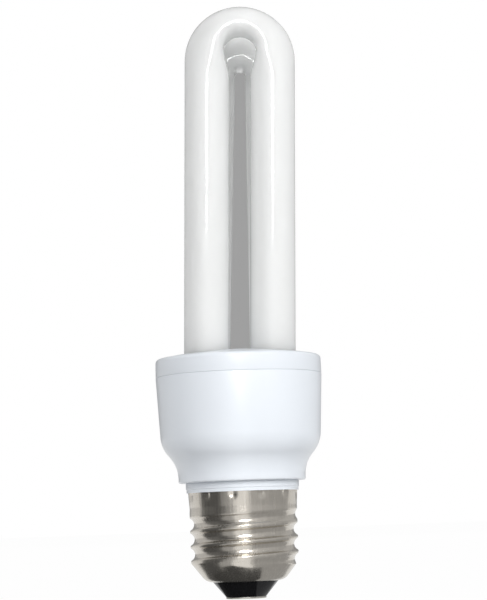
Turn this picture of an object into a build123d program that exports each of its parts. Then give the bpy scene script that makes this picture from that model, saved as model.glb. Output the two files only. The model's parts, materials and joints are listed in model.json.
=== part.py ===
"""Compact fluorescent lamp: two U tubes on a ballast housing with a 27 mm Edison screw cap.

Millimetres, +Z from the cap to the glass, +X to the right of someone who faces the front U.
The origin is the middle of the centre contact's lower face.
"""

import os
from math import cos, radians, sin, sqrt, tan

from build123d import *

os.makedirs("parts", exist_ok=True)

# Screw shell: nickel plated sheet, as wide as the crests of its thread. What goes inside clears the roots
sheet = 0.3
crest_radius = 13.1
thread_depth = 1.0
lip_radius = 8.0
lip_height = 4.2
shoulder_curve = 3.0
shoulder_slope = 38.0
skirt_low = 22.4
skirt_radius = 13.3
rim_height = 25.9

# Black insulator, centre contact and its solder
insulator_low = 0.5
insulator_low_radius = 5.1
insulator_flange_radius = 9.0
insulator_flange_height = 1.9
insulator_bore = 1.4
contact_radius = 4.9
contact_hole = 0.8
solder_inset = 0.05
solder_height = 0.4

# Ballast housing: foot, ogee and drafted wall, with a collar and a neck below
foot_radius = 15.5
foot_low = 28.3
foot_straight = 1.2
foot_edge = 0.4
ogee_radius = 8.0
ogee_turn = 42.0
wall_draft = 2.8
parting_height = 54.15
parting_edge = 0.15
housing_wall = 1.5
collar_radius = 13.8
neck_clearance = 0.05
neck_low = 18.0
neck_low_clearance = 0.25
neck_wall = 1.1

# Tube cover: low cap with a rounded edge and a slightly domed top
cover_side = 4.35
cover_edge_round = 1.0
cover_draft = 1.0
cover_dome_rise = 2.0
cover_wall = 1.4
cover_step_height = 1.8

# Lip and snap hooks that hold the cover in the housing
lip_clearance = 0.15
lip_wall = 1.0
lip_depth = 2.6
hook_count = 4
hook_width = 5.0
hook_drop = 2.4
hook_catch = 0.5
hook_catch_height = 1.0
pocket_clearance = 0.15

# Glass: four legs and two bends, leaning as the cement set them
glass_lean = 2.0
lean_height = 44.0
leg_radius = 5.45
leg_pitch = 16.0
u_spacing = 15.6
leg_low = 50.0
leg_clearance = 0.3
neck_height = 126.2
front_arch_rise = 4.4
front_opening_rise = 7.2
front_opening_radius = 3.9
rear_neck_pitch = 13.5
rear_arch_rise = 4.2
bend_side = 5.6
bend_step = 30
bridge_radius = 2.2
bridge_height = 53.0
seal_length = 8.0
seal_thickness = 2.0
seal_height = 4.0
tip_radius = 1.6
tip_length = 3.0

# Cement poured under the top of the cover
cement_radius = 17.3
cement_rise = 1.45

# Circuit board, and the ribs that carry it
board_low = 43.0
board_thickness = 1.2
board_clearance = 0.4
rib_count = 6
rib_first = 30.0
rib_width = 1.4
rib_reach = 16.5
rib_low = 36.0
hole_clearance = 0.1
lead_radius = 0.3
lead_above_board = 1.0

# Choke
choke_x = -7.2
core_width = 12.0
core_length = 12.0
core_thickness = 5.5
core_back = 1.6
core_leg = 4.0
core_side_leg = 1.4
core_gap = 0.2
bobbin_clearance = 0.1
bobbin_wall = 0.5
flange_width = 9.0
flange_height = 9.5
flange_thickness = 1.2
winding_inset = 0.2
winding_edge = 1.5
choke_pin_x = 3.4
choke_pin_side = 0.6
choke_pin_depth = 1.5

# Reservoir capacitor
reservoir_x = 6.8
reservoir_radius = 5.0
reservoir_length = 12.5
reservoir_lead_pitch = 5.0

# Drive transformer: ring core and its windings
ring_y = 10.9
ring_outer = 4.1
ring_inner = 2.3
ring_height = 3.2
ring_winding = 0.4
ring_winding_count = 3
ring_winding_arc = 60.0

# Transistors
transistor_x = 8.2
transistor_y = 8.2
transistor_radius = 2.3
transistor_depth = 3.6
transistor_height = 4.8
transistor_pitch = 1.3
transistor_lead_side = 0.45

# Film capacitors
film_thickness = 2.6
film_width = 7.2
film_height = 5.5
film_edge = 0.5
film_lead_pitch = 5.0
resonant_x = -14.9
coupling_x = 13.5

# Flat parts soldered to the top of the board
rectifier_length = 4.7
rectifier_width = 3.9
rectifier_height = 2.5
rectifier_y = -4.8
rectifier_tab_pitch = 2.5
rectifier_tab_width = 0.7
rectifier_tab_reach = 1.2
rectifier_tab_height = 0.4
chip_length = 3.2
chip_width = 1.6
chip_height = 0.6
start_resistor_y = 4.2
base_resistor_x = 4.6
base_resistor_y = 13.0
emitter_resistor_x = 4.0
emitter_resistor_y = 9.0
diac_radius = 0.75
diac_length = 3.5
diac_x = -10.5
diac_y = -10.5

# Live and neutral wires, fusible resistor
wire_radius = 0.45
fuse_radius = 1.5
fuse_length = 8.0
fuse_low = 12.5
fuse_lead = 2.0
neutral_y = -9.6
neutral_exit_height = 24.0
neutral_slot = 1.0

# Wrap pins and the electrode leads that end on them
pin_x = 13.0
pin_side = 0.8
pin_height = 4.5
pin_tail = 0.8
electrode_pitch = 4.4
electrode_lead_radius = 0.25
electrode_lead_drop = 0.9

# Places and sizes that follow from the ones above
ogee_rise = ogee_radius * (2 * sin(radians(ogee_turn)) - sin(radians(wall_draft)))
ogee_growth = ogee_radius * (1 + cos(radians(wall_draft)) - 2 * cos(radians(ogee_turn)))
foot_top = foot_low + foot_straight
wall_low = foot_top + ogee_rise
cover_edge_height = parting_height + cover_side
cement_low = parting_height + cement_rise
front_arch_height = neck_height + front_arch_rise
front_opening_height = neck_height + front_opening_rise
rear_arch_height = neck_height + rear_arch_rise
board_top = board_low + board_thickness
lead_top = board_top + lead_above_board
hook_low = parting_height - lip_depth - hook_drop
neck_radius = crest_radius - sheet - neck_clearance
neck_low_radius = crest_radius - thread_depth - sheet - neck_low_clearance
neck_bore = neck_low_radius - neck_wall
solder_top = insulator_low + solder_height
seal_low = leg_low - seal_height


def write(piece, name):
    """Label a finished piece and write its STEP file."""
    piece.part.label = name
    export_step(piece.part, f"parts/{name}.step")


# Screw shell

shell_bore = crest_radius - sheet
hollow_low = lip_height + sheet
inner_curve = shoulder_curve - sheet
shoulder_end = lip_radius + inner_curve * cos(radians(shoulder_slope))
shoulder_top = lip_height + shoulder_curve - inner_curve * sin(radians(shoulder_slope))
shoulder_steepness = (shoulder_top - hollow_low) / (shoulder_end - lip_radius)


def skirt_at(height):
    """Outer radius of the skirt, which widens towards its rim."""
    slope = (skirt_radius - crest_radius) / (rim_height - skirt_low)
    return crest_radius + (height - skirt_low) * slope


with BuildPart() as shell_hollow:
    hollow_top = rim_height + sheet
    cone_rise = (shell_bore - shoulder_end) / tan(radians(shoulder_slope))
    with BuildSketch(Plane.XZ):
        with BuildLine():
            Polyline(
                (0, lip_height - sheet),
                (lip_radius, lip_height - sheet),
                (lip_radius, hollow_low),
                (shoulder_end, shoulder_top),
                (shell_bore, shoulder_top + cone_rise),
                (shell_bore, skirt_low),
                (skirt_at(hollow_top) - sheet, hollow_top),
                (0, hollow_top),
                close=True,
            )
        make_face()
    revolve(axis=Axis.Z)

with BuildPart() as screw_shell:
    with BuildSketch(Plane.XZ):
        with BuildLine():
            lip = Line((0, lip_height), (lip_radius, lip_height))
            shoulder = JernArc(lip @ 1, (1, 0), shoulder_curve, 90 - shoulder_slope)
            cone_rise = (crest_radius - (shoulder @ 1).X) / tan(radians(shoulder_slope))
            Polyline(
                shoulder @ 1,
                (crest_radius, (shoulder @ 1).Y + cone_rise),
                (crest_radius, skirt_low),
                (skirt_radius, rim_height),
                (0, rim_height),
                lip @ 0,
            )
        make_face()
    revolve(axis=Axis.Z)
    add(shell_hollow.part, mode=Mode.SUBTRACT)
write(screw_shell, "screw_shell")

# Insulator: a cone below the shell's lip, its neck in the lip and a flange inside

with BuildPart() as cap_insulator:
    flange_edge = hollow_low + (insulator_flange_radius - lip_radius) * shoulder_steepness
    flange_top = hollow_low + insulator_flange_height
    with BuildSketch(Plane.XZ):
        with BuildLine():
            Polyline(
                (insulator_bore, insulator_low),
                (insulator_low_radius, insulator_low),
                (lip_radius, lip_height),
                (lip_radius, hollow_low),
                (insulator_flange_radius, flange_edge),
                (insulator_flange_radius, flange_top),
                (insulator_bore, flange_top),
                close=True,
            )
        make_face()
    revolve(axis=Axis.Z)
write(cap_insulator, "cap_insulator")

with BuildPart() as centre_contact:
    with BuildSketch():
        Circle(contact_radius)
        Circle(contact_hole, mode=Mode.SUBTRACT)
    extrude(amount=insulator_low)
write(centre_contact, "centre_contact")

with BuildPart() as contact_solder:
    with BuildSketch(Plane.XY.offset(solder_inset)):
        Circle(contact_hole)
    extrude(amount=solder_top - solder_inset)
write(contact_solder, "contact_solder")

# Ballast housing


def wall_at(height, inset=0):
    """Radius of the drafted wall at a height, inset from its outer face."""
    draft = radians(wall_draft)
    return foot_radius + ogee_growth + (height - wall_low) * tan(draft) - inset / cos(draft)


lip_outer = wall_at(hook_low, housing_wall) - lip_clearance
lip_inner = lip_outer - lip_wall

with BuildPart() as housing_hollow:
    floor_top = foot_low + housing_wall
    hollow_top = parting_height + housing_wall
    with BuildSketch(Plane.XZ):
        with BuildLine():
            inner_bend = ogee_radius + housing_wall
            bend_radius = foot_radius + ogee_radius - inner_bend * cos(radians(ogee_turn))
            bend_height = foot_top + inner_bend * sin(radians(ogee_turn))
            Polyline(
                (0, neck_low - neck_wall),
                (neck_bore, neck_low - neck_wall),
                (neck_bore, floor_top),
                (foot_radius - housing_wall, floor_top),
                (bend_radius, bend_height),
                (wall_at(wall_low, housing_wall), wall_low),
                (wall_at(hollow_top, housing_wall), hollow_top),
                (0, hollow_top),
                close=True,
            )
        make_face()
    revolve(axis=Axis.Z)
    rib_depth = wall_at(board_low) - rib_reach
    with Locations((0, 0, (rib_low + board_low) / 2)):
        with PolarLocations(rib_reach + rib_depth / 2, rib_count, start_angle=rib_first):
            Box(rib_depth, rib_width, board_low - rib_low, mode=Mode.SUBTRACT)
    pocket_reach = lip_outer + hook_catch + pocket_clearance
    pocket_depth = pocket_reach - lip_inner
    pocket_height = hook_catch_height + 2 * pocket_clearance
    with Locations((0, 0, hook_low + hook_catch_height / 2)):
        with PolarLocations(pocket_reach - pocket_depth / 2, hook_count):
            Box(pocket_depth, hook_width + 2 * pocket_clearance, pocket_height)

with BuildPart() as ballast_housing:
    with BuildSketch(Plane.XZ):
        with BuildLine():
            foot = Line((foot_radius, foot_low + foot_edge), (foot_radius, foot_top))
            hollow_curve = JernArc(foot @ 1, (0, 1), ogee_radius, -ogee_turn)
            round_curve = JernArc(hollow_curve @ 1, hollow_curve % 1, ogee_radius, ogee_turn - wall_draft)
            edge_height = parting_height - parting_edge
            wall = Line(round_curve @ 1, (wall_at(edge_height), edge_height))
            Polyline(
                foot @ 0,
                (foot_radius - foot_edge, foot_low),
                (collar_radius, foot_low),
                (collar_radius, rim_height),
                (neck_radius, rim_height),
                (neck_radius, skirt_low),
                (neck_low_radius, skirt_low - thread_depth),
                (neck_low_radius, neck_low),
                (0, neck_low),
                (0, parting_height),
                (wall_at(parting_height) - parting_edge, parting_height),
                wall @ 1,
            )
        make_face()
    revolve(axis=Axis.Z)
    add(housing_hollow.part, mode=Mode.SUBTRACT)
    with Locations((0, -neck_radius, neutral_exit_height)):
        slot_length = 4 * (neck_radius - neck_bore)
        Box(neutral_slot, slot_length, neutral_slot, mode=Mode.SUBTRACT)
write(ballast_housing, "ballast_housing")

# Glass, in a frame that leans: the burner's own axis crosses the lamp's at lean_height

lean = radians(glass_lean)
burner = Plane(origin=(0, 0, lean_height), x_dir=(cos(lean), 0, -sin(lean)), z_dir=(sin(lean), 0, cos(lean)))


def burner_point(x, y, height):
    """Point of the leaning frame, with its height measured from the lamp's origin."""
    return burner.from_local_coords(Vector(x, y, height - lean_height))


def burner_plane(place, right, along):
    """Sketch plane of the leaning frame, at a place, with its x and its normal."""
    origin = burner_point(*place)
    x_end = burner_point(*(Vector(*place) + Vector(*right)))
    z_end = burner_point(*(Vector(*place) + Vector(*along)))
    return Plane(origin=origin, x_dir=x_end - origin, z_dir=z_end - origin)


def leg_run(side, y, neck_pitch):
    """Foot of a leg and the way up to its neck. The rear legs close in towards the top."""
    foot = Vector(side * leg_pitch / 2, y, leg_low)
    neck = Vector(side * neck_pitch / 2, y, neck_height)
    return foot, neck - foot


def leg_bars(radius):
    """The four straight legs as bars of a given radius."""
    with BuildPart() as bars:
        for y, neck_pitch in ((-u_spacing / 2, leg_pitch), (u_spacing / 2, rear_neck_pitch)):
            for side in (-1, 1):
                foot, way = leg_run(side, y, neck_pitch)
                with BuildSketch(burner_plane(foot, (1, 0, 0), way)):
                    Circle(radius)
                extrude(amount=way.length)
    return bars.part


def bend(y, neck_pitch, arch_height, opening_height, opening_radius):
    """Bent top of a U: oval sections between the outer arch and the opening, from neck to neck."""
    arch_radius = neck_pitch / 2 + leg_radius
    lift = opening_height - arch_height
    neck_gap = neck_pitch / 2 - leg_radius
    middle_height = (neck_height + opening_height) / 2
    middle_inner = (neck_gap + opening_radius) / 2
    with BuildPart() as bent:
        sections = []
        for side in (1, -1):
            _, way = leg_run(side, y, neck_pitch)
            stretch = []
            low = (side * neck_pitch / 2, y, neck_height)
            stretch.append((low, (side, 0, 0), way * side, leg_radius, leg_radius))
            half = (arch_radius - middle_inner) / 2
            middle = (side * (arch_radius - half), y, middle_height)
            stretch.append((middle, (side, 0, 0), (0, 0, side), half, bend_side))
            sections.append(stretch)
        around = []
        for angle in range(0, 181, bend_step):
            a = radians(angle)
            reach = sqrt(arch_radius**2 - (lift * cos(a)) ** 2) - lift * sin(a)
            centre = (reach + opening_radius) / 2
            place = (centre * cos(a), y, opening_height + centre * sin(a))
            around.append((place, (cos(a), 0, sin(a)), (-sin(a), 0, cos(a)), centre - opening_radius, bend_side))
        for place, right, along, half, deep in sections[0] + around + sections[1][::-1]:
            with BuildSketch(burner_plane(place, right, along)):
                Ellipse(half, deep)
        loft()
    return bent.part


with BuildPart() as discharge_tube:
    add(leg_bars(leg_radius))
    add(bend(-u_spacing / 2, leg_pitch, front_arch_height, front_opening_height, front_opening_radius))
    rear_gap = rear_neck_pitch / 2 - leg_radius
    add(bend(u_spacing / 2, rear_neck_pitch, rear_arch_height, rear_arch_height, rear_gap))
    bridge_start = (-leg_pitch / 2, -u_spacing / 2, bridge_height)
    with BuildSketch(burner_plane(bridge_start, (1, 0, 0), (0, 1, 0))):
        Circle(bridge_radius)
    extrude(amount=u_spacing)
    with BuildSketch(burner.offset(seal_low - lean_height)):
        with Locations((leg_pitch / 2, -u_spacing / 2), (leg_pitch / 2, u_spacing / 2)):
            Rectangle(seal_thickness, seal_length)
    extrude(amount=seal_height)
    with BuildSketch(burner.offset(leg_low - tip_length - lean_height)):
        with Locations((-leg_pitch / 2, -u_spacing / 2), (-leg_pitch / 2, u_spacing / 2)):
            Circle(tip_radius)
    extrude(amount=tip_length)
write(discharge_tube, "discharge_tube")


# Tube cover

cover_slope = tan(radians(cover_draft))
cover_edge_radius = wall_at(parting_height) - (cover_edge_height - parting_height) * cover_slope
cover_top = cover_edge_height + cover_dome_rise
dome_radius = (cover_edge_radius**2 + cover_dome_rise**2) / (2 * cover_dome_rise)
ceiling_radius = cover_edge_radius - cover_wall


def ceiling_at(radius):
    """Height of the cover's inner top, a flat cone, at a distance from the axis."""
    return cover_top - cover_wall - cover_dome_rise * radius / ceiling_radius


with BuildPart() as cover_hollow:
    step_top = parting_height + cover_step_height
    step_radius = ceiling_radius + (cover_edge_height - step_top) * cover_slope
    with BuildSketch(Plane.XZ):
        with BuildLine():
            Polyline(
                (0, hook_low - cover_wall),
                (lip_inner, hook_low - cover_wall),
                (lip_inner, step_top),
                (step_radius, step_top),
                (ceiling_radius, ceiling_at(ceiling_radius)),
                (0, ceiling_at(0)),
                close=True,
            )
        make_face()
    revolve(axis=Axis.Z)

with BuildPart() as tube_cover:
    with BuildSketch(Plane.XZ):
        with BuildLine():
            dome = RadiusArc((cover_edge_radius, cover_edge_height), (0, cover_top), -dome_radius)
            edge_height = parting_height + parting_edge
            Polyline(
                dome @ 0,
                (wall_at(parting_height) - parting_edge * cover_slope, edge_height),
                (wall_at(parting_height) - parting_edge, parting_height),
                (lip_outer, parting_height),
                (lip_outer, parting_height - lip_depth),
                (0, parting_height - lip_depth),
                dome @ 1,
            )
        make_face()
    revolve(axis=Axis.Z)
    fillet(tube_cover.edges().filter_by(Plane.XY).sort_by(Axis.Z)[-1], cover_edge_round)
    with Locations((0, 0, parting_height - lip_depth - hook_drop / 2)):
        with PolarLocations(lip_outer - lip_wall / 2, hook_count):
            Box(lip_wall, hook_width, hook_drop)
    with Locations((0, 0, hook_low + hook_catch_height / 2)):
        with PolarLocations(lip_outer + (hook_catch - lip_wall) / 2, hook_count):
            Box(hook_catch + lip_wall, hook_width, hook_catch_height)
    add(cover_hollow.part, mode=Mode.SUBTRACT)
    add(leg_bars(leg_radius + leg_clearance), mode=Mode.SUBTRACT)
write(tube_cover, "tube_cover")

# Cement poured round the legs, against the cover's ceiling. It flows round the bridge where it reaches it

with BuildPart() as tube_cement:
    with BuildSketch(Plane.XZ):
        with BuildLine():
            Polyline(
                (0, cement_low),
                (cement_radius, cement_low),
                (cement_radius, ceiling_at(cement_radius)),
                (0, ceiling_at(0)),
                close=True,
            )
        make_face()
    revolve(axis=Axis.Z)
    add(leg_bars(leg_radius), mode=Mode.SUBTRACT)
    with BuildSketch(burner_plane(bridge_start, (1, 0, 0), (0, 1, 0))):
        Circle(bridge_radius)
    extrude(amount=u_spacing, mode=Mode.SUBTRACT)
write(tube_cement, "tube_cement")

# Parts on the board. The holes that their leads need are noted for it
round_holes = []
square_holes = []


def rods(places, radius, low, high):
    """Upright round rods at places in plan."""
    with BuildPart() as made:
        with BuildSketch(Plane.XY.offset(low)):
            with Locations(*places):
                Circle(radius)
        extrude(amount=high - low)
    return made.part


def blocks(places, size, low, high):
    """Upright blocks of one size at places in plan."""
    with BuildPart() as made:
        with BuildSketch(Plane.XY.offset(low)):
            with Locations(*places):
                Rectangle(*size)
        extrude(amount=high - low)
    return made.part


def round_pins(places, radius=lead_radius, low=board_low):
    """Round leads that stand up through the board."""
    round_holes.extend((place, radius + hole_clearance) for place in places)
    return rods(places, radius, low, lead_top)


def square_pins(places, side, low=board_low, high=lead_top, clearance=hole_clearance):
    """Square leads that stand up through the board."""
    square_holes.extend((place, side + 2 * clearance) for place in places)
    return blocks(places, (side, side), low, high)


# Choke: two core halves that meet in the bobbin, which carries the winding and the pins
core_middle = board_low - flange_height / 2
core_low = core_middle - core_thickness / 2
core_high = core_middle + core_thickness / 2
window_width = (core_width - core_leg) / 2 - core_side_leg
window_depth = core_length / 2 - core_back
window_x = (core_leg + window_width) / 2
bobbin_bore = core_leg + 2 * bobbin_clearance
bobbin_bore_height = core_thickness + 2 * bobbin_clearance
barrel_width = bobbin_bore + 2 * bobbin_wall
barrel_height = bobbin_bore_height + 2 * bobbin_wall
bobbin_end = window_depth - bobbin_clearance
flange_middle = bobbin_end - flange_thickness / 2

for name, way in (("front", -1), ("back", 1)):
    with BuildPart() as core_half:
        middle = (choke_x, way * core_length / 4)
        add(blocks([middle], (core_width, core_length / 2), core_low, core_high))
        windows = [(choke_x + side * window_x, way * window_depth / 2) for side in (-1, 1)]
        add(blocks(windows, (window_width, window_depth), core_low, core_high), mode=Mode.SUBTRACT)
        gap_place = (choke_x, way * core_gap / 4)
        add(blocks([gap_place], (core_leg, core_gap / 2), core_low, core_high), mode=Mode.SUBTRACT)
    write(core_half, f"choke_core_{name}")

with BuildPart() as choke_bobbin:
    with BuildSketch(Plane.XZ.offset(-bobbin_end)):
        with Locations((choke_x, core_middle)):
            Rectangle(barrel_width, barrel_height)
    extrude(amount=2 * bobbin_end)
    ends = [(choke_x, -flange_middle), (choke_x, flange_middle)]
    add(blocks(ends, (flange_width, flange_thickness), board_low - flange_height, board_low))
    with BuildSketch(Plane.XZ.offset(-bobbin_end)):
        with Locations((choke_x, core_middle)):
            Rectangle(bobbin_bore, bobbin_bore_height)
    extrude(amount=2 * bobbin_end, mode=Mode.SUBTRACT)
    pin_places = [(choke_x + side * choke_pin_x, end * flange_middle) for side in (-1, 1) for end in (-1, 1)]
    pin_low = board_low - choke_pin_depth
    pin_sockets = blocks(pin_places, (choke_pin_side, choke_pin_side), pin_low, board_low)
    add(pin_sockets, mode=Mode.SUBTRACT)
write(choke_bobbin, "choke_bobbin")

with BuildPart() as choke_winding:
    winding_end = flange_middle - flange_thickness / 2
    with BuildSketch(Plane.XZ.offset(-winding_end)):
        with Locations((choke_x, core_middle)):
            wound_width = flange_width - 2 * winding_inset
            wound_height = flange_height - 2 * winding_inset
            wound = Rectangle(wound_width, wound_height)
            chamfer(wound.vertices(), winding_edge)
            Rectangle(barrel_width, barrel_height, mode=Mode.SUBTRACT)
    extrude(amount=2 * winding_end)
write(choke_winding, "choke_winding")

for number, place in enumerate(pin_places, 1):
    with BuildPart() as choke_pin:
        add(square_pins([place], choke_pin_side, pin_low))
    write(choke_pin, f"choke_pin_{number}")

# Reservoir capacitor
with BuildPart() as reservoir_capacitor:
    add(rods([(reservoir_x, 0)], reservoir_radius, board_low - reservoir_length, board_low))
    add(round_pins([(reservoir_x, -reservoir_lead_pitch / 2), (reservoir_x, reservoir_lead_pitch / 2)]))
write(reservoir_capacitor, "reservoir_capacitor")

# Film capacitors
for name, x in (("resonant", resonant_x), ("coupling", coupling_x)):
    with BuildPart() as film_capacitor:
        with BuildSketch(Plane.XY.offset(board_low - film_height)):
            with Locations((x, 0)):
                case = Rectangle(film_thickness, film_width)
                chamfer(case.vertices(), film_edge)
        extrude(amount=film_height)
        add(round_pins([(x, -film_lead_pitch / 2), (x, film_lead_pitch / 2)]))
    write(film_capacitor, f"{name}_capacitor")

# Transistors: round back, flat front, three leads in a row
for name, side in (("left", -1), ("right", 1)):
    with BuildPart() as transistor:
        x = side * transistor_x
        with BuildSketch(Plane.XY.offset(board_low - transistor_height)):
            with Locations((x, transistor_y)):
                Circle(transistor_radius)
            with Locations((x, transistor_y + transistor_radius - transistor_depth)):
                Rectangle(
                    2 * transistor_radius,
                    transistor_radius,
                    align=(Align.CENTER, Align.MAX),
                    mode=Mode.SUBTRACT,
                )
        extrude(amount=transistor_height)
        row = [(x + step * transistor_pitch, transistor_y) for step in (-1, 0, 1)]
        add(square_pins(row, transistor_lead_side))
    write(transistor, f"transistor_{name}")

# Drive transformer: a ring core held up to the board by its windings
ring_middle = board_low - ring_winding - ring_height / 2


def ring(outer, inner, height, arc=360):
    """Ring of square section round the drive transformer's middle, or an arc of it."""
    with BuildPart() as made:
        with BuildSketch(Plane.XZ):
            with Locations(((outer + inner) / 2, 0)):
                Rectangle(outer - inner, height)
        revolve(axis=Axis.Z, revolution_arc=arc)
    return made.part


with BuildPart() as ring_core:
    with Locations((0, ring_y, ring_middle)):
        add(ring(ring_outer, ring_inner, ring_height))
write(ring_core, "ring_core")

for number in range(ring_winding_count):
    with BuildPart() as winding:
        turned = Location((0, ring_y, ring_middle), (0, 0, number * 360 / ring_winding_count))
        outside = ring_outer + ring_winding, ring_inner - ring_winding, ring_height + 2 * ring_winding
        with Locations(turned):
            add(ring(*outside, ring_winding_arc))
        add(ring_core.part, mode=Mode.SUBTRACT)
    write(winding, f"ring_winding_{number + 1}")

# Flat parts on top of the board: rectifier, resistors and diac
with BuildPart() as bridge_rectifier:
    place = (0, rectifier_y)
    add(blocks([place], (rectifier_length, rectifier_width), board_top, board_top + rectifier_height))
    tab_places = [(side * rectifier_tab_pitch / 2, rectifier_y) for side in (-1, 1)]
    tab_size = (rectifier_tab_width, rectifier_width + 2 * rectifier_tab_reach)
    add(blocks(tab_places, tab_size, board_top, board_top + rectifier_tab_height))
write(bridge_rectifier, "bridge_rectifier")

chips = (
    ("start_resistor", 0, start_resistor_y),
    ("base_resistor_left", -base_resistor_x, base_resistor_y),
    ("base_resistor_right", base_resistor_x, base_resistor_y),
    ("emitter_resistor_left", -emitter_resistor_x, emitter_resistor_y),
    ("emitter_resistor_right", emitter_resistor_x, emitter_resistor_y),
)
for name, x, y in chips:
    with BuildPart() as chip:
        add(blocks([(x, y)], (chip_length, chip_width), board_top, board_top + chip_height))
    write(chip, name)

with BuildPart() as trigger_diac:
    with BuildSketch(Plane.YZ.offset(diac_x)):
        with Locations((diac_y, board_top + diac_radius)):
            Circle(diac_radius)
    extrude(amount=diac_length / 2, both=True)
write(trigger_diac, "trigger_diac")

# Live side: fusible resistor on the contact's solder, and a wire from it up to the board
fuse_top = fuse_low + fuse_length + fuse_lead
with BuildPart() as fusible_resistor:
    add(rods([(0, 0)], fuse_radius, fuse_low, fuse_low + fuse_length))
    add(rods([(0, 0)], lead_radius, solder_top, fuse_top))
write(fusible_resistor, "fusible_resistor")

with BuildPart() as live_wire:
    add(round_pins([(0, 0)], wire_radius, fuse_top))
write(live_wire, "live_wire")


def bent_wire(radius, *points):
    """Round wire along straight runs, with mitred corners."""
    with BuildPart() as wire:
        with BuildLine() as route:
            Polyline(*points)
        with BuildSketch(Plane(origin=route.line @ 0, z_dir=route.line % 0)):
            Circle(radius)
        sweep(path=route.line, transition=Transition.RIGHT)
    return wire.part


# Neutral wire: from the board down to the neck and out through its slot to the skirt
with BuildPart() as neutral_wire:
    round_holes.append(((0, neutral_y), lead_radius + hole_clearance))
    skirt_inside = skirt_at(neutral_exit_height) - sheet
    down = (0, neutral_y, neutral_exit_height)
    add(bent_wire(lead_radius, (0, neutral_y, lead_top), down, (0, -skirt_inside, neutral_exit_height)))
write(neutral_wire, "neutral_wire")

# Wrap pins, and the electrode leads that run from the glass seals to them
number = 0
for y in (-u_spacing / 2, u_spacing / 2):
    for step in (-electrode_pitch / 2, electrode_pitch / 2):
        number += 1
        with BuildPart() as wrap_pin:
            place = [(pin_x, y + step)]
            add(square_pins(place, pin_side, board_low - pin_tail, board_top + pin_height, 0))
        write(wrap_pin, f"wrap_pin_{number}")
        with BuildPart() as filament_lead:
            seal = burner_point(leg_pitch / 2, y + step, seal_low)
            turn = seal - Vector(0, 0, electrode_lead_drop)
            add(bent_wire(electrode_lead_radius, seal, turn, (pin_x - pin_side / 2, y + step, turn.Z)))
        write(filament_lead, f"filament_lead_{number}")

# Circuit board, with a hole for each lead
with BuildPart() as circuit_board:
    with BuildSketch(Plane.XY.offset(board_low)):
        Circle(wall_at(board_low, housing_wall) - board_clearance)
        for place, hole_radius in round_holes:
            with Locations(place):
                Circle(hole_radius, mode=Mode.SUBTRACT)
        for place, hole_side in square_holes:
            with Locations(place):
                Rectangle(hole_side, hole_side, mode=Mode.SUBTRACT)
    extrude(amount=board_thickness)
write(circuit_board, "circuit_board")
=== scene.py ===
# %% [markdown]
# # A compact fluorescent lamp in Blender
# The lamp has two U tubes of coated glass, a two-part plastic body and a nickel plated screw cap.
# Its solid parts arrive as a fixed frame. We lay finer pieces over the ones that show, give every piece a
# finish, and light the lamp as for a catalogue picture.

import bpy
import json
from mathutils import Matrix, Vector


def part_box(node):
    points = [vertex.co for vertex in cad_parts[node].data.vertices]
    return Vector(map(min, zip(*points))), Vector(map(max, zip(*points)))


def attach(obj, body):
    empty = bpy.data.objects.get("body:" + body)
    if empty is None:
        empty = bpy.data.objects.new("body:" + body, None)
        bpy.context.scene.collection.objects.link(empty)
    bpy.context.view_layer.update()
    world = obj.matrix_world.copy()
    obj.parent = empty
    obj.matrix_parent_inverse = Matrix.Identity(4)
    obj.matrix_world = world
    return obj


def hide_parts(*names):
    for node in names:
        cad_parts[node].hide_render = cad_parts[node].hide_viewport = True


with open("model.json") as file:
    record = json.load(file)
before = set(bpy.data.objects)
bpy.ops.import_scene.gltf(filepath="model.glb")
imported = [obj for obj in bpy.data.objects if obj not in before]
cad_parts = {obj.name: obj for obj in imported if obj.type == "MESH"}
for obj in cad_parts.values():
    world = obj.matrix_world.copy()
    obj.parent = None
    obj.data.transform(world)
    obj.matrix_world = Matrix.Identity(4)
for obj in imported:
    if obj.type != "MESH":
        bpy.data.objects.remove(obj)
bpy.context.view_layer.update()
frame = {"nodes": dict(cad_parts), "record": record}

# %% Blender's modules, and the unit of the pieces
import json
from math import asin, atan2, cos, degrees, exp, pi, radians, sin, sqrt, tan

import bmesh
import bpy
from mathutils import Matrix, Vector

MM = 0.001


def size_of(node):
    """Lowest and highest corner of a frame node, in millimetres."""
    low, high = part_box(node)
    return Vector(low) / MM, Vector(high) / MM


housing_low, housing_high = size_of("ballast_housing")
shell_low, shell_high = size_of("screw_shell")
contact_low, contact_high = size_of("centre_contact")
insulator_high = size_of("cap_insulator")[1]
tube_high = size_of("discharge_tube")[1]
print("glass reaches", round(tube_high.z, 2), "mm, the cap starts at", round(shell_low.z, 2), "mm")

# %% [markdown]
# ## Turning a shape on a lathe
# The body, the cap and its insulator are all round about one axis. By hand we would draw half of the outline
# and spin it. An outline that ends where it began gives a closed wall.
# Here one point is extruded from corner to corner, and the line of edges is spun round the lamp's axis. An
# arc becomes a few short edges, and smooth shading hides their corners.

# %% Arcs for an outline
def arc(centre, radius, start, end, count):
    """Points of an arc in the (radius, height) plane, with angles in degrees from outwards to up."""
    turns = [radians(start + (end - start) * step / count) for step in range(count + 1)]
    return [(centre[0] + radius * cos(turn), centre[1] + radius * sin(turn)) for turn in turns]


print("a quarter round in four steps has", len(arc((0, 0), 1, 0, 90, 4)), "points")

# %% The lathe
CREASE, MERGE_DISTANCE = 40.0, 0.001


def begin(name):
    """Deselect everything, add a plane and shrink it to one point, in edit mode."""
    bpy.ops.object.select_all(action="DESELECT")
    bpy.ops.mesh.primitive_plane_add(size=MM, location=(0, 0, 0))
    piece = bpy.context.object
    piece.name = piece.data.name = name
    bpy.ops.object.mode_set(mode="EDIT")
    bpy.ops.mesh.select_all(action="SELECT")
    bpy.ops.mesh.merge(type="CENTER")
    return piece


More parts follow.
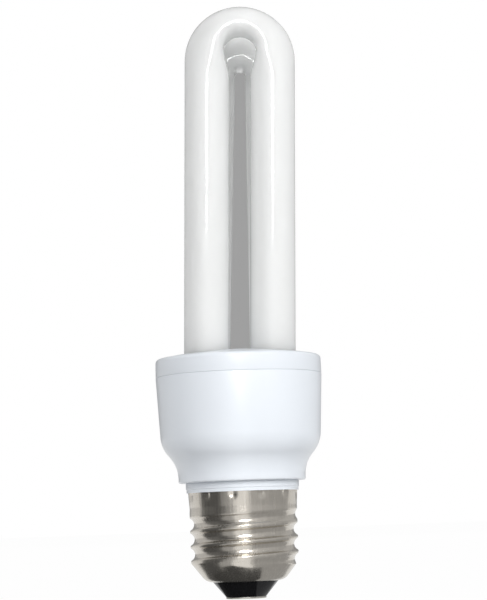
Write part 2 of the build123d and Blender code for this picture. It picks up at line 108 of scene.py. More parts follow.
def turn_on_lathe(name, outline, steps=192, closed=True):
    """Spin an outline of (radius, height) points in millimetres round the lamp's axis."""
    piece = begin(name)
    place = Vector((outline[0][0], 0, outline[0][1])) * MM
    bpy.ops.transform.translate(value=place)
    for radius, height in outline[1:] + (outline[:1] if closed else []):
        target = Vector((radius, 0, height)) * MM
        bpy.ops.mesh.extrude_region_move(TRANSFORM_OT_translate={"value": target - place})
        place = target
    bpy.ops.mesh.select_all(action="SELECT")
    bpy.ops.mesh.spin(steps=steps, angle=2 * pi, center=(0, 0, 0), axis=(0, 0, 1))
    bpy.ops.mesh.select_all(action="SELECT")
    bpy.ops.mesh.remove_doubles(threshold=MERGE_DISTANCE * MM)
    bpy.ops.mesh.normals_make_consistent(inside=False)
    bpy.ops.object.mode_set(mode="OBJECT")
    bpy.ops.object.shade_smooth_by_angle(angle=radians(CREASE))
    print(name, "has", len(piece.data.polygons), "faces")
    return piece


def apply(piece, kind, **settings):
    """Add a modifier with the given settings and apply it."""
    bpy.ops.object.select_all(action="DESELECT")
    bpy.context.view_layer.objects.active = piece
    piece.select_set(True)
    modifier = piece.modifiers.new(kind.title(), kind)
    for name, value in settings.items():
        setattr(modifier, name, value)
    bpy.ops.object.modifier_apply(modifier=modifier.name)


# %% [markdown]
# ## The ballast housing
# The lower half of the body is one moulding. Its wall leans out a little so that it leaves the mould, and it
# swings in below as an ogee: a round curve that runs into a hollow one, each turned by the same angle. Under
# the foot a narrower collar, with a small step, meets the screw cap. The upper edge is slightly broken, and
# with the cover's edge it makes the fine parting line.

# %% Housing
FOOT_RADIUS, FOOT_HEIGHT, FOOT_TOP, FOOT_EDGE = 15.5, 28.3, 29.5, 0.45
OGEE_RADIUS, OGEE_TURN, DRAFT = 8.0, 42.0, 2.8
COLLAR_RADIUS, COLLAR_STEP, COLLAR_STEP_HEIGHT = 13.8, 0.15, 0.75
WALL, EDGE_BREAK = 1.5, 0.2
NECK_RADIUS, NECK_BORE = 11.5, 10.4
collar_low = shell_high.z
parting = housing_high.z

swing, draft = radians(OGEE_TURN), radians(DRAFT)
hollow_centre = (FOOT_RADIUS + OGEE_RADIUS, FOOT_TOP)
round_centre = (
    hollow_centre[0] - 2 * OGEE_RADIUS * cos(swing),
    hollow_centre[1] + 2 * OGEE_RADIUS * sin(swing),
)
wall_start = (round_centre[0] + OGEE_RADIUS * cos(draft), round_centre[1] - OGEE_RADIUS * sin(draft))


def wall_at(height):
    """Outer radius of the drafted wall at a height."""
    return wall_start[0] + (height - wall_start[1]) * tan(draft)


step_top = collar_low + COLLAR_STEP_HEIGHT
collar_outline = [
    (COLLAR_RADIUS - COLLAR_STEP, collar_low),
    (COLLAR_RADIUS - COLLAR_STEP, step_top),
    (COLLAR_RADIUS, step_top + COLLAR_STEP),
    (COLLAR_RADIUS, FOOT_HEIGHT - COLLAR_STEP),
    (COLLAR_RADIUS - COLLAR_STEP, FOOT_HEIGHT),
]
foot_outline = arc((FOOT_RADIUS - FOOT_EDGE, FOOT_HEIGHT + FOOT_EDGE), FOOT_EDGE, -90, 0, 5)
ogee_outline = arc(hollow_centre, OGEE_RADIUS, 180, 180 - OGEE_TURN, 12)
ogee_outline += arc(round_centre, OGEE_RADIUS, -OGEE_TURN, -DRAFT, 12)[1:]
rim_outline = arc((wall_at(parting) - EDGE_BREAK, parting - EDGE_BREAK), EDGE_BREAK, 0, 90, 4)
inner_outline = [
    (wall_at(parting) - WALL, parting),
    (wall_start[0] - WALL, wall_start[1]),
    (FOOT_RADIUS - WALL, FOOT_TOP + WALL),
    (NECK_BORE, FOOT_TOP + WALL),
    (NECK_BORE, housing_low.z),
    (NECK_RADIUS, housing_low.z),
    (NECK_RADIUS, collar_low),
]
housing = turn_on_lathe(
    "housing_moulding", collar_outline + foot_outline + ogee_outline + rim_outline + inner_outline
)

# %% [markdown]
# ## The tube cover
# The upper moulding closes the body. Its edge is rounded and its top is a shallow dome. We turn it as a bowl
# upside down, with a lip that drops into the housing, and then drill four holes where the glass comes out.

# %% Cover
COVER_EDGE_HEIGHT, COVER_ROUND, COVER_DRAFT, COVER_RISE, COVER_WALL = 58.5, 1.0, 1.0, 2.0, 1.4
LIP_DEPTH, LIP_RADIUS = 2.6, 18.4
cover_top = COVER_EDGE_HEIGHT + COVER_RISE
edge_radius = wall_at(parting) - (COVER_EDGE_HEIGHT - parting) * tan(radians(COVER_DRAFT))
dome_radius = (edge_radius**2 + COVER_RISE**2) / (2 * COVER_RISE)
dome_turn = degrees(asin((edge_radius - COVER_ROUND) / dome_radius))
dome_outline = arc((0, cover_top - dome_radius), dome_radius, 90 - dome_turn, 90, 16)
edge_centre = (edge_radius - COVER_ROUND, dome_outline[0][1] - COVER_ROUND)
lower_edge = arc((wall_at(parting) - EDGE_BREAK, parting + EDGE_BREAK), EDGE_BREAK, -90, 0, 4)
upper_edge = arc(edge_centre, COVER_ROUND, 0, 90 - dome_turn, 8)
bowl_inside = [
    (0, cover_top - COVER_WALL),
    (edge_radius - COVER_WALL, COVER_EDGE_HEIGHT - COVER_WALL),
    (edge_radius - COVER_WALL, parting + COVER_WALL),
    (LIP_RADIUS - COVER_WALL, parting + COVER_WALL),
]
lip = [
    (LIP_RADIUS - COVER_WALL, parting - LIP_DEPTH),
    (LIP_RADIUS, parting - LIP_DEPTH),
    (LIP_RADIUS, parting),
]
cover = turn_on_lathe(
    "cover_moulding", lower_edge + upper_edge + dome_outline[1:] + bowl_inside + lip
)

# %% [markdown]
# ## Where the glass stands
# The two U tubes were set in cement by hand, so the pair leans to one side by two degrees. All glass is
# worked out upright first and then leaned about a point on the lamp's axis.

# %% The lean of the glass
LEAN, LEAN_HEIGHT = radians(2.0), 44.0
LEG_RADIUS, LEG_PITCH, U_SPACING, LEG_LOW = 5.45, 16.0, 15.6, 50.0
LEG_CLEARANCE = 0.3


def leaned(point):
    """Place in metres of an upright point in millimetres, leaned about the lean height."""
    pivot = Vector((0, 0, LEAN_HEIGHT))
    return (Matrix.Rotation(LEAN, 3, "Y") @ (Vector(point) - pivot) + pivot) * MM


print("the lean moves the top of the glass by", round(leaned((0, 0, tube_high.z)).x / MM, 2), "mm")

# %% Drill the cover
TUBE_SIDES, DRILL_LENGTH = 64, 30
for x in (-LEG_PITCH / 2, LEG_PITCH / 2):
    for y in (-U_SPACING / 2, U_SPACING / 2):
        bpy.ops.object.select_all(action="DESELECT")
        bpy.ops.mesh.primitive_cylinder_add(
            vertices=TUBE_SIDES,
            radius=(LEG_RADIUS + LEG_CLEARANCE) * MM,
            depth=DRILL_LENGTH * MM,
            location=leaned((x, y, cover_top)),
            rotation=(0, LEAN, 0),
        )
        drill = bpy.context.object
        apply(cover, "BOOLEAN", object=drill, operation="DIFFERENCE", solver="EXACT")
        bpy.data.objects.remove(drill)
bpy.ops.object.shade_smooth_by_angle(angle=radians(CREASE))
print("cover drilled,", len(cover.data.polygons), "faces")

# %% [markdown]
# ## The bent glass
# A U is bent from one straight tube. At the front U's bend the glass was pressed in a mould, so that the
# opening under the arch is a round keyhole and the tube is flattened there to an oval. The rear U has a
# plain bend, and its legs close in towards the top.
# A circle of glass is extruded along the tube, ring by ring. Each ring is an oval between the outer arch and
# the opening, and every vertex keeps the angle that it had on the first ring. At the bends the oval is a
# little egg shaped, fullest near the opening, because the highlight in the photograph runs there.

# %% Ovals along a U
NECK_HEIGHT, BEND_DEPTH, EGG = 126.2, 5.6, 0.45
LEG_STEPS, NECK_STEPS, ARCH_STEPS = 8, 8, 32


def leg_ovals(y, side, foot_pitch, neck_pitch):
    """Round rings up one leg, from its foot to the neck."""
    for step in range(LEG_STEPS + 1):
        t = step / LEG_STEPS
        x = side * (foot_pitch + (neck_pitch - foot_pitch) * t) / 2
        yield (x, y, LEG_LOW + (NECK_HEIGHT - LEG_LOW) * t), (side, 0, 0), LEG_RADIUS, LEG_RADIUS, 0


def neck_ovals(y, side, neck_pitch, arch_height, opening):
    """Rings where the inner side runs from the leg out to the opening's edge."""
    opening_height, opening_radius = opening
    outer = neck_pitch / 2 + LEG_RADIUS
    neck_gap = neck_pitch / 2 - LEG_RADIUS
    for step in range(1, NECK_STEPS):
        t = step / NECK_STEPS
        height = NECK_HEIGHT + (opening_height - NECK_HEIGHT) * t
        ease = t * t * (3 - 2 * t)
        inner = neck_gap + (opening_radius - neck_gap) * ease
        above = max(height - arch_height, 0)
        reach = sqrt(outer**2 - above**2)
        depth = LEG_RADIUS + (BEND_DEPTH - LEG_RADIUS) * ease
        half = (reach - inner) / 2
        yield (side * (reach + inner) / 2, y, height), (side, 0, 0), half, depth, EGG * half * ease


def arch_ovals(y, neck_pitch, arch_height, opening):
    """Rings over the top, from the right side of the opening to the left."""
    opening_height, opening_radius = opening
    outer = neck_pitch / 2 + LEG_RADIUS
    lift = opening_height - arch_height
    for step in range(ARCH_STEPS + 1):
        turn = pi * step / ARCH_STEPS
        reach = sqrt(outer**2 - (lift * cos(turn)) ** 2) - lift * sin(turn)
        middle = (reach + opening_radius) / 2
        place = (middle * cos(turn), y, opening_height + middle * sin(turn))
        half = (reach - opening_radius) / 2
        yield place, (cos(turn), 0, sin(turn)), half, BEND_DEPTH, EGG * half


def u_ovals(y, neck_pitch, arch_height, opening):
    """All rings of a U: up the right leg, over the arch and down the left one."""
    right = list(leg_ovals(y, 1, LEG_PITCH, neck_pitch))
    right += list(neck_ovals(y, 1, neck_pitch, arch_height, opening))
    left = list(leg_ovals(y, -1, LEG_PITCH, neck_pitch))
    left += list(neck_ovals(y, -1, neck_pitch, arch_height, opening))
    return right + list(arch_ovals(y, neck_pitch, arch_height, opening)) + left[::-1]


FRONT_ARCH, FRONT_OPENING = 130.6, (133.4, 3.9)
REAR_NECK_PITCH, REAR_ARCH = 13.5, 130.4
rear_opening = (REAR_ARCH, REAR_NECK_PITCH / 2 - LEG_RADIUS)
front_rings = u_ovals(-U_SPACING / 2, LEG_PITCH, FRONT_ARCH, FRONT_OPENING)
rear_rings = u_ovals(U_SPACING / 2, REAR_NECK_PITCH, REAR_ARCH, rear_opening)
print("each U has", len(front_rings), "rings")

# %% Blow a U
GLASS_CREASE = 60.0


def blow_tube(name, rings):
    """Extrude a circle of glass through rings: place, way outwards, half width, half depth, egg shape."""
    bpy.ops.object.select_all(action="DESELECT")
    bpy.ops.mesh.primitive_circle_add(vertices=TUBE_SIDES, radius=LEG_RADIUS * MM, fill_type="NGON")
    tube = bpy.context.object
    tube.name = tube.data.name = name
    bpy.ops.object.mode_set(mode="EDIT")
    mesh = bmesh.from_edit_mesh(tube.data)
    around = mesh.verts.layers.float.new("around")
    for vertex in mesh.verts:
        vertex[around] = atan2(vertex.co.y, vertex.co.x)
    for number, (place, outwards, half, depth, egg) in enumerate(rings):
        if number:
            bpy.ops.mesh.extrude_region()
            mesh = bmesh.from_edit_mesh(tube.data)
            around = mesh.verts.layers.float["around"]
        for vertex in mesh.verts:
            if vertex.select:
                turn = vertex[around]
                aside = Vector(outwards) * (half * cos(turn) - egg * sin(turn) ** 2)
                vertex.co = leaned(Vector(place) + aside + Vector((0, depth * sin(turn), 0)))
        bmesh.update_edit_mesh(tube.data)
    mesh.verts.layers.float.remove(around)
    bpy.ops.mesh.select_all(action="SELECT")
    bpy.ops.mesh.normals_make_consistent(inside=False)
    bpy.ops.object.mode_set(mode="OBJECT")
    bpy.ops.object.shade_smooth_by_angle(angle=radians(GLASS_CREASE))
    print(name, "has", len(tube.data.polygons), "faces")
    return tube


front_tube = blow_tube("front_u_tube", front_rings)
rear_tube = blow_tube("rear_u_tube", rear_rings)

# %% [markdown]
# ## Bridge, seals and tips
# Low down, inside the cover, a short bridge joins the two U tubes on the left. On the right each leg ends in
# a flat pinched seal that holds the electrode's leads, and on the left in a small pumping tip.

# %% Bridge, seals and tips
BRIDGE_RADIUS, BRIDGE_HEIGHT = 2.2, 53.0
SEAL_SIZE, SEAL_ROUND = (2.0, 8.0, 4.0), 0.6
TIP_RADIUS, TIP_LENGTH = 1.6, 3.0
ROD_SIDES, ROD_ROUND, ROUND_STEPS = 32, 0.4, 3


def add_rod(radius, length, place, rotation):
    """Solid glass rod, its ends rounded by a share of its radius."""
    bpy.ops.object.select_all(action="DESELECT")
    bpy.ops.mesh.primitive_cylinder_add(
        vertices=ROD_SIDES,
        radius=radius * MM,
        depth=length * MM,
        location=leaned(place),
        rotation=rotation,
    )
    rod = bpy.context.object
    bpy.ops.object.transform_apply(location=True, rotation=True, scale=True)
    apply(rod, "BEVEL", width=radius * ROD_ROUND * MM, segments=ROUND_STEPS, limit_method="ANGLE")
    return rod


def add_seal(place):
    """Pinched end of a leg."""
    bpy.ops.object.select_all(action="DESELECT")
    bpy.ops.mesh.primitive_cube_add(size=MM, location=leaned(place), rotation=(0, LEAN, 0))
    seal = bpy.context.object
    seal.scale = SEAL_SIZE
    bpy.ops.object.transform_apply(location=True, rotation=True, scale=True)
    apply(seal, "BEVEL", width=SEAL_ROUND * MM, segments=ROUND_STEPS)
    return seal


glass_ends = [add_rod(BRIDGE_RADIUS, U_SPACING, (-LEG_PITCH / 2, 0, BRIDGE_HEIGHT), (pi / 2, 0, 0))]
for y in (-U_SPACING / 2, U_SPACING / 2):
    tip_place = (-LEG_PITCH / 2, y, LEG_LOW - TIP_LENGTH / 2)
    glass_ends.append(add_rod(TIP_RADIUS, TIP_LENGTH, tip_place, (0, LEAN, 0)))
    glass_ends.append(add_seal((LEG_PITCH / 2, y, LEG_LOW - SEAL_SIZE[2] / 2)))

bpy.ops.object.select_all(action="DESELECT")
for piece in (front_tube, rear_tube, *glass_ends):
    piece.select_set(True)
bpy.context.view_layer.objects.active = front_tube
bpy.ops.object.join()
glass = bpy.context.object
glass.name = glass.data.name = "glass_tubes"
print("glass joined,", len(glass.data.polygons), "faces")

# %% [markdown]
# ## The screw shell
# The cap is thin sheet, rolled into a thread. The crests are narrow and the roots are wide and round, and at
# both ends the groove fades out. A helix is easier to press into a fine shell than to model: we spin a plain
# outline with many rows, then move each vertex inwards by the depth of the groove where it stands.
# The same step adds the small punch marks that stake the skirt to the collar.

# %% Groove and punch marks
CREST_RADIUS, PITCH, DEPTH, ROOT_CURVE, SHEET = 13.1, 3.629, 1.0, 1.6, 0.3
GROOVE_LOW, GROOVE_TURNS, FADE_TOP, FADE_LOW = 9.2, 2.5, 1.0, 0.5
CREST_SOFTNESS = 0.12
PUNCH_COUNT, PUNCH_FIRST, PUNCH_HEIGHT = 12, -100.0, 25.3
PUNCH_DEPTH, PUNCH_WIDTH, PUNCH_REACH = 0.32, 0.7, 0.9


def groove_depth(turn, height):
    """Depth of the rolled groove at an angle in turns and a height."""
    number = round((height - GROOVE_LOW) / PITCH - turn)
    centre = GROOVE_LOW + PITCH * (number + turn)
    away = abs(height - centre)
    if away >= ROOT_CURVE:
        return 0
    scoop = DEPTH - ROOT_CURVE + sqrt(ROOT_CURVE**2 - away**2)
    above = (centre - GROOVE_LOW) / PITCH - GROOVE_TURNS
    below = (GROOVE_LOW - centre) / PITCH
    fade = max(above / FADE_TOP, below / FADE_LOW, 0) * DEPTH
    scoop -= min(fade, 2 * DEPTH)
    return (scoop + sqrt(scoop**2 + CREST_SOFTNESS**2)) / 2


def punch_depth(turn, height):
    """Depth of the nearest punch mark."""
    angle = turn * 360 - PUNCH_FIRST
    spacing = 360 / PUNCH_COUNT
    off = (angle + spacing / 2) % spacing - spacing / 2
    across = radians(off) * CREST_RADIUS / PUNCH_WIDTH
    along = (height - PUNCH_HEIGHT) / PUNCH_REACH
    return PUNCH_DEPTH * exp(-(across**2) - along**2)


print("the groove is", round(groove_depth(0, GROOVE_LOW), 2), "mm deep at its lower end")

# %% Outline of the shell
CAP_LIP_RADIUS, SHOULDER_CURVE, SHOULDER_SLOPE = 8.0, 3.0, 38.0
SKIRT_LOW, SKIRT_RADIUS = 22.4, 13.3
ROW, CONE_ROWS = 0.16, 8
shoulder = arc((CAP_LIP_RADIUS, shell_low.z + SHOULDER_CURVE), SHOULDER_CURVE, -90, -SHOULDER_SLOPE, 10)
cone_top = shoulder[-1][1] + (CREST_RADIUS - shoulder[-1][0]) / tan(radians(SHOULDER_SLOPE))
cone = [
    (
        shoulder[-1][0] + (CREST_RADIUS - shoulder[-1][0]) * step / CONE_ROWS,
        shoulder[-1][1] + (cone_top - shoulder[-1][1]) * step / CONE_ROWS,
    )
    for step in range(1, CONE_ROWS + 1)
]
rows = int((shell_high.z - cone_top) / ROW)
heights = [cone_top + (shell_high.z - cone_top) * step / rows for step in range(1, rows + 1)]
skirt_spread = (SKIRT_RADIUS - CREST_RADIUS) / (shell_high.z - SKIRT_LOW)
skirt = [(CREST_RADIUS + max(height - SKIRT_LOW, 0) * skirt_spread, height) for height in heights]
print("the shell's outline has", len(shoulder + cone + skirt), "points")

# %% Roll the shell
SHELL_STEPS, SHELL_CREASE = 216, 50.0
shell = turn_on_lathe("rolled_shell", shoulder + cone + skirt, steps=SHELL_STEPS, closed=False)
for vertex in shell.data.vertices:
    x, y, height = vertex.co / MM
    radius = sqrt(x * x + y * y)
    turn = (atan2(y, x) / (2 * pi)) % 1
    inwards = groove_depth(turn, height) if radius > CREST_RADIUS - 2 * DEPTH else 0
    inwards = max(inwards - (CREST_RADIUS - min(radius, CREST_RADIUS)), 0)
    inwards += punch_depth(turn, height)
    vertex.co.x *= (radius - inwards) / radius
    vertex.co.y *= (radius - inwards) / radius
apply(shell, "SOLIDIFY", thickness=SHEET * MM, offset=-1)
bpy.ops.object.shade_smooth_by_angle(angle=radians(SHELL_CREASE))
print("shell rolled,", len(shell.data.polygons), "faces")

# %% [markdown]
# ## Insulator, contact and solder
# Under the shell a black cone of fused glass keeps the centre contact away from the shell. The contact is a
# tinned disc, and solder fills its hole, where the live wire comes through.

# %% Insulator, contact and solder
INSULATOR_FOOT, INSULATOR_EDGE, INSULATOR_BORE = 5.1, 0.35, 1.4
CONTACT_RADIUS, CONTACT_EDGE, CONTACT_HOLE = 4.9, 0.2, 0.8
INSULATOR_SLOPE, SHELF_HEIGHT, CONTACT_STEPS = 38.0, 3 * SHEET, 96
foot_centre = (INSULATOR_FOOT - INSULATOR_EDGE, contact_high.z + INSULATOR_EDGE)
insulator_outline = [
    (INSULATOR_BORE, contact_high.z),
    *arc(foot_centre, INSULATOR_EDGE, -90, -INSULATOR_SLOPE, 4),
    (CAP_LIP_RADIUS, shell_low.z),
    (CAP_LIP_RADIUS, shell_low.z + SHEET),
    (insulator_high.x, shell_low.z + SHELF_HEIGHT),
    (insulator_high.x, insulator_high.z),
    (INSULATOR_BORE, insulator_high.z),
]
insulator = turn_on_lathe("insulator_cone", insulator_outline)
rim_centre = (CONTACT_RADIUS - CONTACT_EDGE, contact_low.z + CONTACT_EDGE)
contact_outline = [
    (CONTACT_HOLE, contact_low.z),
    *arc(rim_centre, CONTACT_EDGE, -90, 0, 4),
    (CONTACT_RADIUS, contact_high.z),
    (CONTACT_HOLE, contact_high.z),
]
contact = turn_on_lathe("contact_disc", contact_outline, steps=CONTACT_STEPS)

# %% The solder
SOLDER_SUNK, SOLDER_TOP, SOLDER_ROUND = 0.02, 0.9, 0.05
SOLDER_STEPS, SOLDER_ROUND_STEPS = 48, 2
solder_low = contact_low.z + SOLDER_SUNK
solder_outline = [
    (0, solder_low),
    (CONTACT_HOLE, solder_low),
    (CONTACT_HOLE, SOLDER_TOP),
    (0, SOLDER_TOP),
]
solder = turn_on_lathe("solder_blob", solder_outline, steps=SOLDER_STEPS)
apply(solder, "BEVEL", width=SOLDER_ROUND * MM, segments=SOLDER_ROUND_STEPS, limit_method="ANGLE")
print("solder rounded,", len(solder.data.polygons), "faces")

# %% [markdown]
# ## Everything rides on one body
# Nothing on the lamp moves, so all pieces ride on the root. Each piece stands for the frame node that it
# covers and takes that node's finish.

# %% Dress the frame
dressing = (
    (housing, "ballast_housing", "white_plastic"),
    (cover, "tube_cover", "white_plastic"),
    (glass, "discharge_tube", "white_glass"),
    (shell, "screw_shell", "nickel_plate"),
    (insulator, "cap_insulator", "black_glass"),
    (contact, "centre_contact", "contact_metal"),
    (solder, "contact_solder", "solder"),
)
for piece, node, finish in dressing:
    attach(piece, "root")
    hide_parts(node)
print(len(dressing), "pieces dressed")

# %% [markdown]
# ## Sums in a shader
# Blender's shader maths is a web of Math nodes. A small class lets us write it as ordinary sums: each sum
# on a value adds its node. One method adds every other kind of node.

# %% Values and finishes
class Value:
    """A shader value that takes part in sums, such as 0.2 + value * 0.1."""

    def __init__(self, finish, socket):
        self.finish, self.socket = finish, socket

    def join(self, operation, first, second):
        """Work out two values in a Math node."""
        return self.finish.add("ShaderNodeMath", {"operation": operation}, {0: first, 1: second})

    def __add__(self, other):
        return self.join("ADD", self, other)

    def __radd__(self, other):
        return self.join("ADD", other, self)

    def __mul__(self, other):
        return self.join("MULTIPLY", self, other)

    def __rmul__(self, other):
        return self.join("MULTIPLY", other, self)


class Finish:
    """A material and the nodes in it."""

    def __init__(self, name):
        self.material = bpy.data.materials.new(name)
        self.material.use_nodes = True
        self.tree = self.material.node_tree
        self.tree.nodes.clear()

    def add(self, kind, settings, sockets, output=0):
        """Add a node: first its settings, then the values or links of its sockets."""
        node = self.tree.nodes.new(kind)
        for name, value in settings.items():
            setattr(node, name, value)
        for name, value in sockets.items():
            if isinstance(value, Value):
                self.tree.links.new(value.socket, node.inputs[name])
            else:
                node.inputs[name].default_value = value
        return Value(self, node.outputs[output]) if node.outputs else None

    def noise(self, scale, detail=2, stretch=(1, 1, 1)):
        """Noise from 0 to 1 on the piece's own coordinates, in features per metre."""
        place = self.add("ShaderNodeTexCoord", {}, {}, output="Object")
        place = self.add("ShaderNodeMapping", {}, {"Vector": place, "Scale": stretch})
        return self.add("ShaderNodeTexNoise", {}, {"Vector": place, "Scale": scale, "Detail": detail})

    def blend(self, amount, first, second):
        """A colour between two colours."""
        return self.add("ShaderNodeMix", {"data_type": "RGBA"}, {0: amount, 6: first, 7: second}, output=2)

    def bump(self, height, distance, strength=1.0):
        """Normals of a fine relief, its distance in metres."""
        return self.add("ShaderNodeBump", {}, {"Height": height, "Distance": distance, "Strength": strength})

    def surface(self, **sockets):
        """The surface that the nodes end in. Socket names are written with underscores."""
        named = {name.replace("_", " "): value for name, value in sockets.items()}
        shader = self.add("ShaderNodeBsdfPrincipled", {}, named)
        self.add("ShaderNodeOutputMaterial", {}, {"Surface": shader})
        print(self.material.name, "has", len(self.tree.nodes), "nodes")


# %% Two shades of a colour
def shades(colour, spread):
    """A colour a little darker and a little lighter, as four numbers each."""
    return [(*(min(part * (1 + way * spread), 1) for part in colour), 1) for way in (-1, 1)]


print("two shades of grey", shades((0.5, 0.5, 0.5), 0.1))

# %% [markdown]
# ## White glass
# Behind the clear glass lies a matt white powder that lets some light through. So the surface is a rough,
# slightly uneven white in which light spreads. A smooth coat over it gives the sharp streaks.

# %% White glass
POWDER_WHITE = (0.772, 0.782, 0.777)
white_glass = Finish("white_glass")
powder = white_glass.noise(scale=90, detail=3, stretch=(1, 1, 0.25))
ripple = white_glass.noise(scale=25, detail=1)
white_glass.surface(
    Base_Color=white_glass.blend(powder, *shades(POWDER_WHITE, spread=0.012)),
    Subsurface_Weight=1.0,
    Subsurface_Radius=(1, 1, 1),
    Subsurface_Scale=0.02,
    Roughness=0.5 + powder * 0.1,
    Coat_Weight=1.0,
    Coat_Roughness=0.03,
    Normal=white_glass.bump(ripple, distance=0.00003),
)

# %% [markdown]
# ## White plastic
# The two mouldings are a glossy, slightly bluish white. Their skin has a very faint unevenness from the
# mould, which softens the edges of reflections.

# %% White plastic
PLASTIC_WHITE = (0.80, 0.84, 0.89)
white_plastic = Finish("white_plastic")
tone = white_plastic.noise(scale=60, detail=3)
skin = white_plastic.noise(scale=1800)
white_plastic.surface(
    Base_Color=white_plastic.blend(tone, *shades(PLASTIC_WHITE, spread=0.008)),
    Roughness=0.28 + tone * 0.08,
    Coat_Weight=0.25,
    Coat_Roughness=0.12,
    Normal=white_plastic.bump(skin, distance=0.000002),
)

# %% [markdown]
# ## Nickel plate
# Rolled nickel is warm grey metal. Drawing the shell leaves faint upright streaks, stronger on the skirt, so
# its noise is stretched along the lamp. It changes the roughness and the shade a little.

# %% Nickel plate
NICKEL_GREY = (0.60, 0.565, 0.51)
nickel = Finish("nickel_plate")
streaks = nickel.noise(scale=1800, stretch=(1, 1, 0.03))
clouds = nickel.noise(scale=140, detail=3)
nickel.surface(
    Base_Color=nickel.blend(streaks, *shades(NICKEL_GREY, spread=0.10)),
    Metallic=1.0,
    Roughness=0.16 + streaks * 0.12 + clouds * 0.06,
    Normal=nickel.bump(streaks, distance=0.00003, strength=0.5),
)

# %% [markdown]
# ## Black glass, and the rest
# The insulator is glossy black. Everything that is hidden inside gets a finish of its own as well, made by
# one function: a colour with fine grain, a roughness and a faint relief.

# %% Other finishes
def grained(name, colour, roughness, metallic=0.0, spread=0.08, grain=600, relief=0.00001):
    """A plain finish whose shade, gloss and relief follow one noise."""
    finish = Finish(name)
    speckle = finish.noise(scale=grain, detail=3)
    finish.surface(
        Base_Color=finish.blend(speckle, *shades(colour, spread)),
        Metallic=metallic,
        Roughness=roughness + speckle * 0.08,
        Normal=finish.bump(speckle, relief),
    )
    return finish


finishes = {
    "white_glass": white_glass,
    "white_plastic": white_plastic,
    "nickel_plate": nickel,
    "black_glass": grained("black_glass", (0.006, 0.006, 0.007), 0.12, spread=0.2, grain=200),
    "contact_metal": grained("contact_metal", (0.56, 0.54, 0.5), 0.3, 1.0),
    "solder": grained("solder", (0.55, 0.55, 0.56), 0.28, 1.0, relief=0.00002),
    "cement": grained("cement", (0.66, 0.62, 0.54), 0.85, spread=0.15, relief=0.0001),
    "board_laminate": grained("board_laminate", (0.3, 0.16, 0.06), 0.6, spread=0.12),
    "ferrite": grained("ferrite", (0.03, 0.03, 0.032), 0.55),
    "bobbin_plastic": grained("bobbin_plastic", (0.5, 0.47, 0.38), 0.5),
    "enamelled_wire": grained("enamelled_wire", (0.42, 0.12, 0.04), 0.25, 0.6, grain=2500, relief=0.00006),
    "capacitor_sleeve": grained("capacitor_sleeve", (0.02, 0.02, 0.025), 0.3),
    "film_case": grained("film_case", (0.33, 0.06, 0.02), 0.3),
    "resistor_body": grained("resistor_body", (0.12, 0.22, 0.17), 0.6),
    "chip_ceramic": grained("chip_ceramic", (0.03, 0.03, 0.03), 0.5),
    "black_epoxy": grained("black_epoxy", (0.015, 0.015, 0.015), 0.55),
    "diac_glass": grained("diac_glass", (0.06, 0.1, 0.32), 0.2),
    "wire_sleeve": grained("wire_sleeve", (0.45, 0.02, 0.02), 0.4),
    "tinned_wire": grained("tinned_wire", (0.6, 0.6, 0.6), 0.25, 1.0),
}


def paint(piece, finish):
    """The finish as the piece's only material."""
    piece.data.materials.clear()
    piece.data.materials.append(finish.material)


for subpart in frame["record"]["subparts"]:
    paint(frame["nodes"][subpart["node"]], finishes[subpart["material_slot"]])
for piece, node, finish in dressing:
    paint(piece, finishes[finish])
print(len(finishes), "finishes")

# %% [markdown]
# ## Floor, backdrop and reflected cards
# A catalogue picture has almost no horizon: the floor and the world are white to the camera and to gloss,
# and on the floor a trace of the shadow shows. Metal and glass need something to reflect, so dark and grey
# cards stand round the lamp and lie on the floor. They show in gloss alone. The small dark card at the lamp's
# foot is a painted shadow, standing for the lamp's own shadow on the floor where gloss sees it. One far grey
# panel stands behind as painted shade: the camera sees it only through the gap of the glass, where it paints
# the shade between the tubes.

# %% White to the camera
def sees_white(finish, plain, share):
    """Mix a share of white glow, for the camera, gloss and clear pieces, into a plain shader."""
    camera_ray, glossy_ray, clear_ray = [
        finish.add("ShaderNodeLightPath", {}, {}, output=f"Is {kind} Ray")
        for kind in ("Camera", "Glossy", "Transmission")
    ]
    clamped_sum = {"operation": "ADD", "use_clamp": True}
    seen = finish.add("ShaderNodeMath", clamped_sum, {0: camera_ray + glossy_ray, 1: clear_ray})
    glow = finish.add("ShaderNodeEmission", {}, {"Color": (1, 1, 1, 1), "Strength": 1.0})
    both = finish.add("ShaderNodeMixShader", {}, {0: seen * share, 1: plain, 2: glow})
    finish.add("ShaderNodeOutputMaterial", {}, {"Surface": both})


# %% Floor
FLOOR_SIZE, FLOOR_GLOW, FLOOR_COLOUR = 12.0, 0.98, (0.7, 0.7, 0.7, 1)
bpy.ops.object.select_all(action="DESELECT")
bpy.ops.mesh.primitive_plane_add(size=FLOOR_SIZE, location=(0, 0, 0))
floor = bpy.context.object
floor.name = "floor"
pale = Finish("pale_floor")
matt = pale.add("ShaderNodeBsdfDiffuse", {}, {"Color": FLOOR_COLOUR})
sees_white(pale, matt, FLOOR_GLOW)
paint(floor, pale)
print("floor", FLOOR_SIZE, "m wide")

# %% Makers of cards
CARD_DISTANCE, CARD_HEIGHT, CARD_LIFT = 1.5, 3.0, 0.0002
# Reach of the small card that paints the lamp's shadow at its foot.
SHADOW_CARD_REACH = 0.009


def glow_in_gloss(made, name, brightness):
    """Name a card and let it glow in gloss alone."""
    bpy.ops.object.transform_apply(location=True, rotation=True, scale=True)
    made.name = name
    grey = Finish(name)
    glow = grey.add("ShaderNodeEmission", {}, {"Color": (1, 1, 1, 1), "Strength": brightness})
    grey.add("ShaderNodeOutputMaterial", {}, {"Surface": glow})
    paint(made, grey)
    made.visible_camera = made.visible_diffuse = made.visible_shadow = False
    return made


